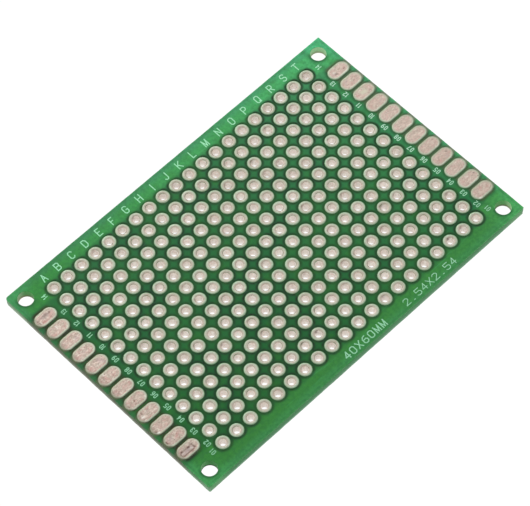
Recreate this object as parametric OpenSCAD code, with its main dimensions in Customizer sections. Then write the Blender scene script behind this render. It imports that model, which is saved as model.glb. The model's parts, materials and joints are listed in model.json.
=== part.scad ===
// Double-sided prototype board: a drilled glass-epoxy laminate with a grid of
// plated-through holes, soldering pads along both short ends, solder mask on
// both faces and a printed legend on the front.
//
// Frame: the origin is under the middle of the board, at the lowest point of
// the pads on the back. +X runs along the long side, from column A to the last
// column, +Y towards the lettered edge, and +Z out of the front face.

/* [Board] */
// Length of the board, along the lettered rows
board_l = 60; // [60:0.5:90]
// Width of the board, along the numbered columns
board_w = 40; // [40:0.5:70]
// Overall thickness, over the pads of both faces
board_t = 1.6; // [1.0:0.1:2.4]
// Height of the pads, copper and tin, above the laminate
pad_h = 0.07; // [0.05:0.01:0.15]
// Thickness of the solder mask
mask_t = 0.03; // [0.02:0.005:0.04]

/* [Hole grid] */
// Distance between neighbouring holes, both ways
pitch = 2.54; // [2.3:0.01:2.54]
// Number of lettered columns
columns = 20; // [20]
// Number of numbered rows
rows = 14; // [4:1:14]
// Diameter of a plated hole, inside the plating
hole_d = 1.0; // [0.8:0.05:1.2]
// Diameter of the round pad about each hole
pad_d = 2.0; // [1.7:0.05:2.1]
// Thickness of the plating on the wall of a hole
plating_t = 0.05; // [0.03:0.01:0.08]
// Radius at the mouth of a plated hole
mouth_r = 0.12; // [0.08:0.01:0.16]

/* [Edge pads] */
// Length of an edge pad, along X
edge_pad_l = 3.5; // [2.5:0.1:3.5]
// Width of an edge pad, along Y
edge_pad_w = 2.05; // [1.5:0.05:2.1]
// Distance from the short end of the board to the pads
edge_pad_inset = 0.25; // [0.2:0.05:0.3]

/* [Mounting holes] */
// Diameter of a mounting hole
mount_d = 2.3; // [2:0.1:2.6]
// Distance from each edge of the board to the centre of a mounting hole
mount_inset = 2; // [1.8:0.1:2.1]

/* [Solder mask] */
// Gap between the mask and a pad
mask_gap = 0.1; // [0.05:0.01:0.12]

/* [Legend] */
// Height of the column letters
letter_h = 1.3; // [1:0.05:1.4]
// Height of the row numbers
number_h = 0.77; // [0.6:0.01:0.9]
// Line width of the column letters
letter_line = 0.15; // [0.12:0.01:0.2]
// Line width of the row numbers
number_line = 0.11; // [0.1:0.01:0.15]
// Thickness of the ink
ink_t = 0.02; // [0.01:0.005:0.02]

/* [Hidden] */
$fn = 48;

core_z0 = pad_h;                    // back face of the laminate
core_z1 = board_t - pad_h;          // front face of the laminate
ink_z = core_z1 + mask_t;           // top of the front mask
barrel_r = hole_d / 2 + plating_t;  // radius of the drilled hole
pad_edge = 0.02;                    // bevel round the edge of a pad

function col_x(k) = (k - (columns - 1) / 2) * pitch;
function row_y(n) = (n - (rows - 1) / 2) * pitch;
edge_pad_x = board_l / 2 - edge_pad_inset - edge_pad_l / 2;
mount_x = board_l / 2 - mount_inset;
mount_y = board_w / 2 - mount_inset;

tin = [0.79, 0.74, 0.66];
mask_green = [0.22, 0.53, 0.31];
ink = [0.60, 0.86, 0.68];

// ---- shapes shared by several sub-parts ----

module at_grid() {
    for (k = [0 : columns - 1], n = [0 : rows - 1])
        translate([col_x(k), row_y(n)]) children();
}

module at_mounts() {
    for (x = [-1, 1], y = [-1, 1])
        translate([x * mount_x, y * mount_y]) children();
}

// One pad stands level with each row but the first and the last
module at_edge_pads(side) {
    for (n = [1 : rows - 2])
        translate([side * edge_pad_x, row_y(n)]) children();
}

// A slot-shaped outline lying along X
module obround(l, w) {
    square([l - w, w], center = true);
    for (s = [-1, 1]) translate([s * (l - w) / 2, 0]) circle(d = w);
}

// ---- rigid_laminate: the drilled sheet of glass-epoxy laminate ----

module rigid_laminate() {
    color([0.62, 0.62, 0.38])
        translate([0, 0, core_z0])
            linear_extrude(core_z1 - core_z0)
                difference() {
                    square([board_l, board_w], center = true);
                    at_grid() circle(r = barrel_r);
                    at_mounts() circle(d = mount_d);
                }
}

// ---- solder mask: a thin coat with an opening about every pad, drilled through
// with the laminate at the mounting holes ----

module mask_sheet() {
    linear_extrude(mask_t)
        difference() {
            square([board_l, board_w], center = true);
            at_grid() circle(d = pad_d + 2 * mask_gap);
            at_mounts() circle(d = mount_d);
            for (side = [-1, 1])
                at_edge_pads(side)
                    obround(edge_pad_l + 2 * mask_gap, edge_pad_w + 2 * mask_gap);
        }
}

module solder_mask_front() {
    color(mask_green) translate([0, 0, core_z1]) mask_sheet();
}

module solder_mask_back() {
    color(mask_green) translate([0, 0, core_z0 - mask_t]) mask_sheet();
}

// ---- plated holes: a barrel with a round pad at each end ----

// Half of an eyelet's section, from its mid height down to the back face
eyelet_half = [
    [hole_d / 2, mouth_r],
    [hole_d / 2 + 0.13 * mouth_r, 0.5 * mouth_r],
    [hole_d / 2 + 0.5 * mouth_r, 0.13 * mouth_r],
    [hole_d / 2 + mouth_r, 0],
    [pad_d / 2 - pad_edge, 0],
    [pad_d / 2, pad_edge],
    [pad_d / 2, pad_h],
    [barrel_r, pad_h]];

module eyelet() {
    rotate_extrude()
        polygon(concat(
            eyelet_half,
            [for (i = [len(eyelet_half) - 1 : -1 : 0])
                [eyelet_half[i][0], board_t - eyelet_half[i][1]]]));
}

module plated_holes_column(k) {
    color(tin)
        for (n = [0 : rows - 1])
            translate([col_x(k), row_y(n), 0]) eyelet();
}

module plated_holes_col_A() { plated_holes_column(0); }
module plated_holes_col_B() { plated_holes_column(1); }
module plated_holes_col_C() { plated_holes_column(2); }
module plated_holes_col_D() { plated_holes_column(3); }
module plated_holes_col_E() { plated_holes_column(4); }
module plated_holes_col_F() { plated_holes_column(5); }
module plated_holes_col_G() { plated_holes_column(6); }
module plated_holes_col_H() { plated_holes_column(7); }
module plated_holes_col_I() { plated_holes_column(8); }
module plated_holes_col_J() { plated_holes_column(9); }
module plated_holes_col_K() { plated_holes_column(10); }
module plated_holes_col_L() { plated_holes_column(11); }
module plated_holes_col_M() { plated_holes_column(12); }
module plated_holes_col_N() { plated_holes_column(13); }
module plated_holes_col_O() { plated_holes_column(14); }
module plated_holes_col_P() { plated_holes_column(15); }
module plated_holes_col_Q() { plated_holes_column(16); }
module plated_holes_col_R() { plated_holes_column(17); }
module plated_holes_col_S() { plated_holes_column(18); }
module plated_holes_col_T() { plated_holes_column(19); }

// ---- edge pads: bare soldering pads with no hole ----

module edge_pads(side, z) {
    color(tin)
        translate([0, 0, z])
            at_edge_pads(side)
                linear_extrude(pad_h) obround(edge_pad_l, edge_pad_w);
}

module edge_pads_front_left() { edge_pads(-1, core_z1); }
module edge_pads_front_right() { edge_pads(1, core_z1); }
module edge_pads_back_left() { edge_pads(-1, 0); }
module edge_pads_back_right() { edge_pads(1, 0); }

// ---- legend: single-line characters, drawn on a grid 4 wide and 6 high ----

// The lines of a character: [closed, points]
function lines_of(c) =
    c == "A" ? [[false, [[0, 0], [2, 6]]], [false, [[2, 6], [4, 0]]], [false, [[0.84, 2.4], [3.16, 2.4]]]] :
    c == "B" ? [[true, [[0, 0], [0, 6], [3, 6], [4, 5.2], [4, 3.9], [3.2, 3.1], [4, 2.3], [4, 0.8], [3, 0]]], [false, [[0, 3.1], [3.2, 3.1]]]] :
    c == "C" ? [[false, [[4, 1], [3, 0], [1, 0], [0, 1], [0, 5], [1, 6], [3, 6], [4, 5]]]] :
    c == "D" ? [[true, [[0, 0], [0, 6], [2.6, 6], [4, 4.6], [4, 1.4], [2.6, 0]]]] :
    c == "E" ? [[false, [[4, 0], [0.3, 0], [0.3, 6], [4, 6]]], [false, [[0.3, 3.1], [3.2, 3.1]]]] :
    c == "F" ? [[false, [[0.3, 0], [0.3, 6], [3.7, 6]]], [false, [[0.3, 3.1], [2.9, 3.1]]]] :
    c == "G" ? [[false, [[4, 5], [3, 6], [1, 6], [0, 5], [0, 1], [1, 0], [3, 0], [4, 1], [4, 2.8], [2.4, 2.8]]]] :
    c == "H" ? [[false, [[0, 0], [0, 6]]], [false, [[4, 0], [4, 6]]], [false, [[0, 3.1], [4, 3.1]]]] :
    c == "I" ? [[false, [[2, 0], [2, 6]]]] :
    c == "J" ? [[false, [[0, 1], [1.1, 0], [2.3, 0], [3.3, 0.9], [3.3, 6]]]] :
    c == "K" ? [[false, [[0, 0], [0, 6]]], [false, [[4, 6], [0, 2.4]]], [false, [[1.2, 3.5], [4, 0]]]] :
    c == "L" ? [[false, [[0.3, 6], [0.3, 0], [3.5, 0]]]] :
    c == "M" ? [[false, [[0, 0], [0, 6]]], [false, [[0, 6], [2, 0.4]]], [false, [[2, 0.4], [4, 6]]], [false, [[4, 6], [4, 0]]]] :
    c == "N" ? [[false, [[0, 0], [0, 6]]], [false, [[0, 6], [4, 0]]], [false, [[4, 0], [4, 6]]]] :
    c == "O" || c == "0" ? [[true, [[1, 0], [0, 1], [0, 5], [1, 6], [3, 6], [4, 5], [4, 1], [3, 0]]]] :
    c == "P" ? [[false, [[0, 0], [0, 6]]], [false, [[0, 6], [3, 6], [4, 5.1], [4, 3.7], [3, 2.8], [0, 2.8]]]] :
    c == "Q" ? [[true, [[1, 0], [0, 1], [0, 5], [1, 6], [3, 6], [4, 5], [4, 1], [3, 0]]], [false, [[2.8, 1.2], [4, 0]]]] :
    c == "R" ? [[false, [[0, 0], [0, 6]]], [false, [[0, 6], [3, 6], [4, 5.1], [4, 3.7], [3, 2.8], [0, 2.8]]], [false, [[1.8, 2.8], [4, 0]]]] :
    c == "S" ? [[false, [[0, 0.9], [1, 0], [3, 0], [4, 0.9], [4, 2.3], [3, 3.1], [1, 3.1], [0, 3.9], [0, 5.1], [1, 6], [3, 6], [4, 5.1]]]] :
    c == "T" ? [[false, [[2, 0], [2, 6]]], [false, [[-0.2, 6], [4.2, 6]]]] :
    c == "X" ? [[false, [[0, 0], [4, 6]]], [false, [[0, 6], [4, 0]]]] :
    c == "1" ? [[false, [[2.2, 0], [2.2, 6]]], [false, [[2.2, 6], [1, 4.9]]]] :
    c == "2" ? [[false, [[0, 5], [1, 6], [3, 6], [4, 5], [4, 3.9], [0, 0]]], [false, [[0, 0], [4, 0]]]] :
    c == "3" ? [[false, [[0, 5.2], [1, 6], [3, 6], [4, 5.2], [4, 3.9], [3.1, 3.1], [4, 2.3], [4, 0.8], [3, 0], [1, 0], [0, 0.8]]], [false, [[1.4, 3.1], [3.1, 3.1]]]] :
    c == "4" ? [[false, [[3, 0], [3, 6]]], [false, [[3, 6], [0, 1.8]]], [false, [[0, 1.8], [4, 1.8]]]] :
    c == "5" ? [[false, [[4, 6], [0, 6], [0, 3.5], [3, 3.5], [4, 2.6], [4, 1], [3, 0], [1, 0], [0, 0.8]]]] :
    c == "6" ? [[false, [[3.4, 6], [1.4, 5.6], [0, 4], [0, 1], [1, 0], [3, 0], [4, 1], [4, 2.5], [3, 3.4]]], [false, [[3, 3.4], [0, 3.1]]]] :
    c == "7" ? [[false, [[0, 6], [4, 6]]], [false, [[4, 6], [1.4, 0]]]] :
    c == "8" ? [[true, [[1, 0], [0, 0.8], [0, 2.3], [0.8, 3.1], [0, 3.9], [0, 5.2], [1, 6], [3, 6], [4, 5.2], [4, 3.9], [3.2, 3.1], [4, 2.3], [4, 0.8], [3, 0]]], [false, [[0.8, 3.1], [3.2, 3.1]]]] :
    c == "9" ? [for (s = lines_of("6")) [s[0], [for (p = s[1]) [4 - p[0], 6 - p[1]]]]] :
    [[false, [[1.6, 0], [2.4, 0]]]];

function unit(v) = v / norm(v);
function left_of(v) = [-v[1], v[0]];
function backwards(p) = [for (i = [len(p) - 1 : -1 : 0]) p[i]];

// One side of an open line, mitred at its corners and run on a little at its ends
function side_of(p, d, cap) = let (n = len(p)) [
    for (i = [0 : n - 1])
        let (a = unit(p[max(i, 1)] - p[max(i, 1) - 1]),
             b = unit(p[min(i + 1, n - 1)] - p[min(i + 1, n - 1) - 1]))
        p[i] + (left_of(a) + left_of(b)) * d / (1 + a * b)
             + (i == 0 ? -a * cap : i == n - 1 ? a * cap : [0, 0])];

// A closed line moved sideways, mitred at its corners
function ring_of(p, d) = let (n = len(p)) [
    for (i = [0 : n - 1])
        let (a = unit(p[i] - p[(i + n - 1) % n]), b = unit(p[(i + 1) % n] - p[i]))
        p[i] + (left_of(a) + left_of(b)) * d / (1 + a * b)];

module line_shape(closed, p, w) {
    if (closed)
        difference() {
            polygon(ring_of(p, w / 2));
            polygon(ring_of(p, -w / 2));
        }
    else
        polygon(concat(side_of(p, w / 2, 0.45 * w), backwards(side_of(p, -w / 2, 0.45 * w))));
}

// One character, its centre at the origin, w and h over the outside of its lines
module character(c, w, h, line) {
    sx = (w - line) / 4;
    sy = (h - line) / 6;
    linear_extrude(ink_t)
        for (s = lines_of(c))
            line_shape(s[0], [for (p = s[1]) [(p[0] - 2) * sx, (p[1] - 3) * sy]], line);
}

// A word about the origin, read along +X
module word(s, w, h, line, step) {
    for (i = [0 : len(s) - 1])
        translate([(i - (len(s) - 1) / 2) * step, 0, 0]) character(s[i], w, h, line);
}

// Two figures, 01 to 14, read along +Y; a figure 1 stands closer to its neighbour
module row_number(n) {
    step = n > 9 ? 0.365 : n == 1 ? 0.45 : 0.52;
    rotate(90)
        word(str(floor(n / 10), n % 10), 0.38, number_h, number_line, step);
}

letters = "ABCDEFGHIJKLMNOPQRST";

module legend_letters() {
    color(ink)
        for (k = [0 : columns - 1])
            translate([col_x(k), board_w / 2 - 1.37, ink_z])
                character(letters[k], 0.78, letter_h, letter_line);
}

// The first and last numbers stand level with their rows, and the others half
// a pitch lower, between two edge pads
module legend_numbers(side, x_between, x_level, up) {
    color(ink) translate([0, 0, ink_z]) {
        for (n = [2 : rows - 1])
            translate([side * x_between, row_y(n - 1) - pitch / 2 + up]) row_number(n);
        translate([side * x_level, row_y(0) - 0.03]) row_number(1);
        translate([side * x_level, row_y(rows - 1) - 0.16]) row_number(rows);
    }
}

module legend_numbers_left() { legend_numbers(-1, 25.7, 26.03, 0.06); }
module legend_numbers_right() { legend_numbers(1, 25.85, 26.4, 0.18); }

module legend_board_size() {
    color(ink) translate([0, 1 - board_w / 2, ink_z])
        word("40X60MM", 0.85, 1.2, letter_line, 1.14);
}

module legend_pitch() {
    color(ink) translate([12.5, 1.05 - board_w / 2, ink_z])
        word("2.54X2.54", 0.85, 1.1, number_line, 1.12);
}

rigid_laminate();
solder_mask_front();
solder_mask_back();
plated_holes_col_A();
plated_holes_col_B();
plated_holes_col_C();
plated_holes_col_D();
plated_holes_col_E();
plated_holes_col_F();
plated_holes_col_G();
plated_holes_col_H();
plated_holes_col_I();
plated_holes_col_J();
plated_holes_col_K();
plated_holes_col_L();
plated_holes_col_M();
plated_holes_col_N();
plated_holes_col_O();
plated_holes_col_P();
plated_holes_col_Q();
plated_holes_col_R();
plated_holes_col_S();
plated_holes_col_T();
edge_pads_front_left();
edge_pads_front_right();
edge_pads_back_left();
edge_pads_back_right();
legend_letters();
legend_numbers_left();
legend_numbers_right();
legend_board_size();
legend_pitch();
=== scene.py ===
import json
import math

import bpy
import numpy as np
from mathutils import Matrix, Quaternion, Vector, geometry

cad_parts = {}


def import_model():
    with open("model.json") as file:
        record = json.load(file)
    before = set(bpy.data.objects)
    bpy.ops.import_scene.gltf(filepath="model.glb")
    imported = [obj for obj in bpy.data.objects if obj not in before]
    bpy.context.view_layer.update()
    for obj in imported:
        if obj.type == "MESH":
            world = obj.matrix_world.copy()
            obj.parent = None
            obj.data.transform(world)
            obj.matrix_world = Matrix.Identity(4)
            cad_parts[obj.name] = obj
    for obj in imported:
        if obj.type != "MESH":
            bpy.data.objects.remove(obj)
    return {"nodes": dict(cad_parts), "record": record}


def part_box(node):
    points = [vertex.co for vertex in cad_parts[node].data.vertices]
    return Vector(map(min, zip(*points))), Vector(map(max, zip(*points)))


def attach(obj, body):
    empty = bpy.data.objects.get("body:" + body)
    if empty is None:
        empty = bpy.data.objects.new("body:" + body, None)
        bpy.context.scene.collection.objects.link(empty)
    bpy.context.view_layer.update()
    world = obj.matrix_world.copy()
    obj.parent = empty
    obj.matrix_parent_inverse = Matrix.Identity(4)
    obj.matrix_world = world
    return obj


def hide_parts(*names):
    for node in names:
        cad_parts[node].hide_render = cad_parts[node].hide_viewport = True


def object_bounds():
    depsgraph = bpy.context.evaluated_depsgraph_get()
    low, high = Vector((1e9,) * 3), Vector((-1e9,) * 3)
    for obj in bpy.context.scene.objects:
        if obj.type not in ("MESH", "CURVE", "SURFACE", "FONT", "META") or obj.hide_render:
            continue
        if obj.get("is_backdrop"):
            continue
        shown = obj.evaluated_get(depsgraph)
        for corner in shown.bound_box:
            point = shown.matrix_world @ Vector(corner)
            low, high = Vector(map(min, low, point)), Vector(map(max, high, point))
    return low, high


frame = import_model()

# --------------------------------------------------------------------------- The
# whole script works in millimetres and scales to metres as it writes a mesh.
MM = 0.001
record = frame["record"]
cad_lo, cad_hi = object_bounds()
rng = np.random.default_rng(40060)


def box(node):
    lo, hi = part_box(node)
    return np.array(lo) / MM, np.array(hi) / MM


core_lo, core_hi = box("rigid_laminate")
front_lo, front_hi = box("solder_mask_front")
back_lo, back_hi = box("solder_mask_back")
LETTERS = "ABCDEFGHIJKLMNOPQRST"
cols = []
for letter in LETTERS:
    lo, hi = box("plated_holes_col_" + letter)
    cols.append(((lo[0] + hi[0]) / 2, lo, hi))
PAD_R = (cols[0][2][0] - cols[0][1][0]) / 2
TOP, BOTTOM = cols[0][2][2], cols[0][1][2]          # faces of the pads
rows_y = np.linspace(cols[0][1][1] + PAD_R, cols[0][2][1] - PAD_R, 14)
cols_x = np.array([c[0] for c in cols])
PITCH = (cols_x[-1] - cols_x[0]) / 19
mounts = {m["name"]: m for m in record["mounts"]}
HOLE_R = mounts["component_hole_A01"]["dims"]["r_mm"]
MOUNT_R = mounts["mounting_holes"]["dims"]["hole_r_mm"]
mount_xy = [(sx * mounts["mounting_holes"]["dims"]["spacing_x_mm"] / 2,
             sy * mounts["mounting_holes"]["dims"]["spacing_y_mm"] / 2)
            for sx in (-1, 1) for sy in (-1, 1)]
grid_xy = [(x, y) for x in cols_x for y in rows_y]
CORE_Z0, CORE_Z1 = core_lo[2], core_hi[2]
HALF_L, HALF_W = core_hi[0], core_hi[1]
BARREL_R = HOLE_R + 0.05
MASK_GAP = 0.1
ep_lo, ep_hi = box("edge_pads_front_left")
EP_L = ep_hi[0] - ep_lo[0]
EP_W = (ep_hi[1] - ep_lo[1]) - 11 * PITCH
EP_X = (ep_lo[0] + ep_hi[0]) / 2
EP_Y = np.linspace(ep_lo[1] + EP_W / 2, ep_hi[1] - EP_W / 2, 12)


# ---------------------------------------------------------------------------
# Mesh helpers
# ---------------------------------------------------------------------------
def make_mesh(name, verts, polys, smooth, floats=None):
    """verts (n, 3) in mm; polys a list of index arrays (m, k); smooth a list of booleans, one for each array."""
    me = bpy.data.meshes.new(name)
    verts = np.asarray(verts, float)
    me.vertices.add(len(verts))
    me.vertices.foreach_set("co", (verts * MM).astype(np.float32).ravel())
    counts = np.concatenate([np.full(len(p), p.shape[1]) for p in polys])
    loops = np.concatenate([p.ravel() for p in polys])
    me.loops.add(len(loops))
    me.loops.foreach_set("vertex_index", loops.astype(np.int32))
    me.polygons.add(len(counts))
    me.polygons.foreach_set("loop_start", np.concatenate([[0], np.cumsum(counts)[:-1]]).astype(np.int32))
    flags = np.concatenate([np.full(len(p), s) for p, s in zip(polys, smooth)])
    me.update(calc_edges=True)
    me.validate()
    me.polygons.foreach_set("use_smooth", flags[:len(me.polygons)])
    for key, values in (floats or {}).items():
        a = me.attributes.new(key, "FLOAT", "POINT")
        a.data.foreach_set("value", np.asarray(values, np.float32))
    me.update()
    ob = bpy.data.objects.new(name, me)
    bpy.context.scene.collection.objects.link(ob)
    return ob


def circle_points(cx, cy, r, n, clockwise=False):
    a = np.arange(n) / n * 2 * np.pi
    if clockwise:
        a = -a
    return np.c_[cx + r * np.cos(a), cy + r * np.sin(a)]


def obround_points(cx, cy, length, width, arc, straight, clockwise=False):
    """A slot outline lying along X, anticlockwise from the lower end of its right arc."""
    r, h = width / 2, (length - width) / 2
    a = np.linspace(-np.pi / 2, np.pi / 2, arc)
    right = np.c_[h + r * np.cos(a), r * np.sin(a)]
    left = -right
    t = np.linspace(0, 1, straight + 2)[1:-1]
    top = np.c_[h - 2 * h * t, np.full(len(t), r)]
    bottom = -top
    pts = np.concatenate([right, top, left, bottom]) + [cx, cy]
    return pts[::-1] if clockwise else pts


def loop_normals(pts):
    """Unit vectors to the left of the way round: into the material for an anticlockwise outline and for a clockwise hole."""
    d = np.roll(pts, -1, 0) - np.roll(pts, 1, 0)
    n = np.c_[-d[:, 1], d[:, 0]]
    return n / np.linalg.norm(n, axis=1)[:, None]


def tri_area(p):
    u, v = p[:, 1] - p[:, 0], p[:, 2] - p[:, 0]
    return u[:, 0] * v[:, 1] - u[:, 1] * v[:, 0]


def plate(name, outline, holes, levels, wobble=None, shape_side=None):
    """A drilled plate. levels are (z, inset) from the top face down; inset is how far a hole's wall stands back into the material.
    wobble(xy, z, which) gives a further inset; shape_side(xy, z) moves the outline's own points."""
    loops = [outline] + holes
    base = np.concatenate(loops)
    normal = np.concatenate([loop_normals(l) for l in loops])
    which = np.concatenate([np.full(len(l), i) for i, l in enumerate(loops)])
    n = len(base)
    layers = []
    for z, inset in levels:
        xy = base + normal * np.where(which > 0, inset, 0.0)[:, None]
        if wobble is not None:
            xy = xy + normal * wobble(base, z, which)[:, None]
        if shape_side is not None:
            outer = which == 0
            xy[outer] = shape_side(xy[outer], z)
        layers.append(np.c_[xy, np.full(n, z)])
    verts = np.concatenate(layers)
    starts = np.cumsum([0] + [len(l) for l in loops])
    edges = []
    for a, b in zip(starts[:-1], starts[1:]):
        edges += [(i, i + 1) for i in range(a, b - 1)] + [(b - 1, a)]

    def cap(layer):
        flat = [Vector((float(x), float(y))) for x, y in layer[:, :2]]
        vs, _, fs, orig, _, _ = geometry.delaunay_2d_cdt(flat, edges, [], 1, 1e-7)
        assert len(vs) == n, (name, len(vs), n)
        back = np.array([o[0] for o in orig])
        tri = back[np.array([list(f) for f in fs])]
        area = tri_area(layer[:, :2][tri])
        tri[area < 0] = tri[area < 0][:, ::-1]
        # a triangle with all three corners on one hole lies inside that hole
        w = which[tri]
        inside = (w[:, 0] == w[:, 1]) & (w[:, 1] == w[:, 2]) & (w[:, 0] > 0)
        return tri[~inside & (np.abs(area) > 1e-12)]

    top = cap(layers[0])
    bottom = cap(layers[-1])[:, ::-1] + (len(levels) - 1) * n
    nxt = np.arange(n) + 1
    for a, b in zip(starts[:-1], starts[1:]):
        nxt[b - 1] = a
    i = np.arange(n)
    walls = []
    for k in range(len(levels) - 1):
        walls.append(np.c_[i + k * n, i + (k + 1) * n, nxt + (k + 1) * n, nxt + k * n])
    return make_mesh(name, verts, [top, bottom, np.concatenate(walls)], [False, False, True])


def value_noise(seed, size=64):
    """A repeatable smooth noise on the plane, made of random waves."""
    r = np.random.default_rng(seed)
    k = r.normal(size=(size, 2))
    ph = r.uniform(0, 2 * np.pi, size)

    def f(x, y, scale):
        return np.cos((x[..., None] * k[:, 0] + y[..., None] * k[:, 1]) * scale + ph).sum(-1) / math.sqrt(size / 2)
    return f


noise_a, noise_b = value_noise(11), value_noise(12)


# ---------------------------------------------------------------------------
# Materials. Each is one Principled shader; patterns come from the object's own
# coordinates, which are the row frame in metres.
# ---------------------------------------------------------------------------
class Nodes:
    """A little shorthand for building node trees."""

    def __init__(self, name):
        self.mat = bpy.data.materials.new(name)
        self.mat.use_nodes = True
        self.t = self.mat.node_tree
        self.t.nodes.clear()
        self.out = self.t.nodes.new("ShaderNodeOutputMaterial")
        self.bsdf = self.t.nodes.new("ShaderNodeBsdfPrincipled")
        self.link(self.bsdf.outputs[0], self.out.inputs[0])

    def link(self, a, b):
        self.t.links.new(a, b)

    def node(self, kind, **inputs):
        n = self.t.nodes.new(kind)
        for k, v in inputs.items():
            self.put(n.inputs[k.replace("_", " ")], v)
        return n

    def put(self, socket, v):
        if isinstance(v, bpy.types.NodeSocket):
            self.link(v, socket)
        else:
            if isinstance(v, (tuple, list)) and len(v) == 3 and socket.type == "RGBA":
                v = (*v, 1)
            socket.default_value = v

    def math(self, op, a, b=None, c=None, clamp=False):
        n = self.t.nodes.new("ShaderNodeMath")
        n.operation = op
        n.use_clamp = clamp
        for i, v in enumerate((a, b, c)):
            if v is not None:
                self.put(n.inputs[i], v)
        return n.outputs[0]

    def vmath(self, op, a, b=None):
        n = self.t.nodes.new("ShaderNodeVectorMath")
        n.operation = op
        self.put(n.inputs[0], a)
        if b is not None:
            self.put(n.inputs[1], b)
        return n.outputs["Value"] if op in ("LENGTH", "DOT_PRODUCT", "DISTANCE") else n.outputs[0]

    def mm(self):
        """Object coordinates in millimetres."""
        c = self.t.nodes.new("ShaderNodeTexCoord")
        n = self.t.nodes.new("ShaderNodeVectorMath")
        n.operation = "SCALE"
        self.link(c.outputs["Object"], n.inputs[0])
        n.inputs["Scale"].default_value = 1000.0
        return n.outputs[0]

    def split(self, v):
        n = self.t.nodes.new("ShaderNodeSeparateXYZ")
        self.link(v, n.inputs[0])
        return n.outputs

    def join(self, x, y, z):
        n = self.t.nodes.new("ShaderNodeCombineXYZ")
        for s, v in zip(n.inputs, (x, y, z)):
            self.put(s, v)
        return n.outputs[0]

    def attr(self, name):
        n = self.t.nodes.new("ShaderNodeAttribute")
        n.attribute_type = "GEOMETRY"
        n.attribute_name = name
        return n.outputs["Fac"]

    def normal(self):
        return self.split(self.t.nodes.new("ShaderNodeNewGeometry").outputs["Normal"])

    def noise(self, vector, scale, detail=2.0, rough=0.5, distort=0.0):
        n = self.node("ShaderNodeTexNoise", Vector=vector, Scale=scale, Detail=detail, Roughness=rough, Distortion=distort)
        return n.outputs["Fac"]

    def ramp(self, v, lo, hi, a=0.0, b=1.0, smooth=True):
        n = self.t.nodes.new("ShaderNodeMapRange")
        n.interpolation_type = "SMOOTHSTEP" if smooth else "LINEAR"
        self.put(n.inputs["Value"], v)
        for k, x in (("From Min", lo), ("From Max", hi), ("To Min", a), ("To Max", b)):
            n.inputs[k].default_value = x
        return n.outputs["Result"]

    def mix(self, fac, a, b, blend="MIX"):
        n = self.t.nodes.new("ShaderNodeMix")
        n.data_type = "RGBA"
        n.blend_type = blend
        self.put(n.inputs["Factor"], fac)
        self.put(n.inputs["A"], a)
        self.put(n.inputs["B"], b)
        return n.outputs["Result"]

    def mix_value(self, fac, a, b):
        """A number between a and b."""
        span = self.math("SUBTRACT", b, a)
        return self.math("ADD", self.math("MULTIPLY", fac, span), a)

    def colour_ramp(self, v, stops):
        n = self.t.nodes.new("ShaderNodeValToRGB")
        e = n.color_ramp.elements
        while len(e) > 1:
            e.remove(e[-1])
        e[0].position, e[0].color = stops[0][0], (*stops[0][1], 1)
        for p, c in stops[1:]:
            x = e.new(p)
            x.color = (*c, 1)
        self.put(n.inputs["Fac"], v)
        return n.outputs["Color"]

    def bump(self, height, strength, distance, normal=None):
        n = self.node("ShaderNodeBump", Height=height, Strength=strength, Distance=distance)
        if normal is not None:
            self.link(normal, n.inputs["Normal"])
        return n.outputs[0]

    def set(self, **values):
        for k, v in values.items():
            self.put(self.bsdf.inputs[k.replace("_", " ")], v)
        return self.mat


def srgb(r, g, b):
    """A colour given as 0 to 255 on a screen, as the linear colour a shader takes."""
    return tuple(x / 12.92 if x <= 0.04045 else ((x + 0.055) / 1.055) ** 2.4 for x in (r / 255, g / 255, b / 255))


def pad_distance(m, p):
    """How far a point lies outside the rim of the nearest round pad and of the nearest slot-shaped pad, in mm,
    and where it lies about the slot-shaped one: 1 and -1 by its long sides, 0 by its ends."""
    x, y, _ = m.split(p)

    def fold(v, start, count):
        u = m.math("DIVIDE", m.math("SUBTRACT", v, float(start)), float(PITCH))
        k = m.math("ROUND", u)
        k = m.math("MINIMUM", m.math("MAXIMUM", k, 0.0), float(count - 1))
        return m.math("MULTIPLY", m.math("SUBTRACT", u, k), float(PITCH))
    hole = m.vmath("LENGTH", m.join(fold(x, cols_x[0], 20), fold(y, rows_y[0], 14), 0.0))
    along = m.math("SUBTRACT", m.math("ABSOLUTE", x), float(abs(EP_X)))
    along = m.math("MAXIMUM", m.math("SUBTRACT", m.math("ABSOLUTE", along), float((EP_L - EP_W) / 2)), 0.0)
    off = fold(y, EP_Y[0], 12)
    slot = m.vmath("LENGTH", m.join(along, off, 0.0))
    side = m.math("DIVIDE", off, m.math("MAXIMUM", slot, 0.05))
    return m.math("SUBTRACT", hole, float(PAD_R)), m.math("SUBTRACT", slot, float(EP_W / 2)), side


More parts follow.
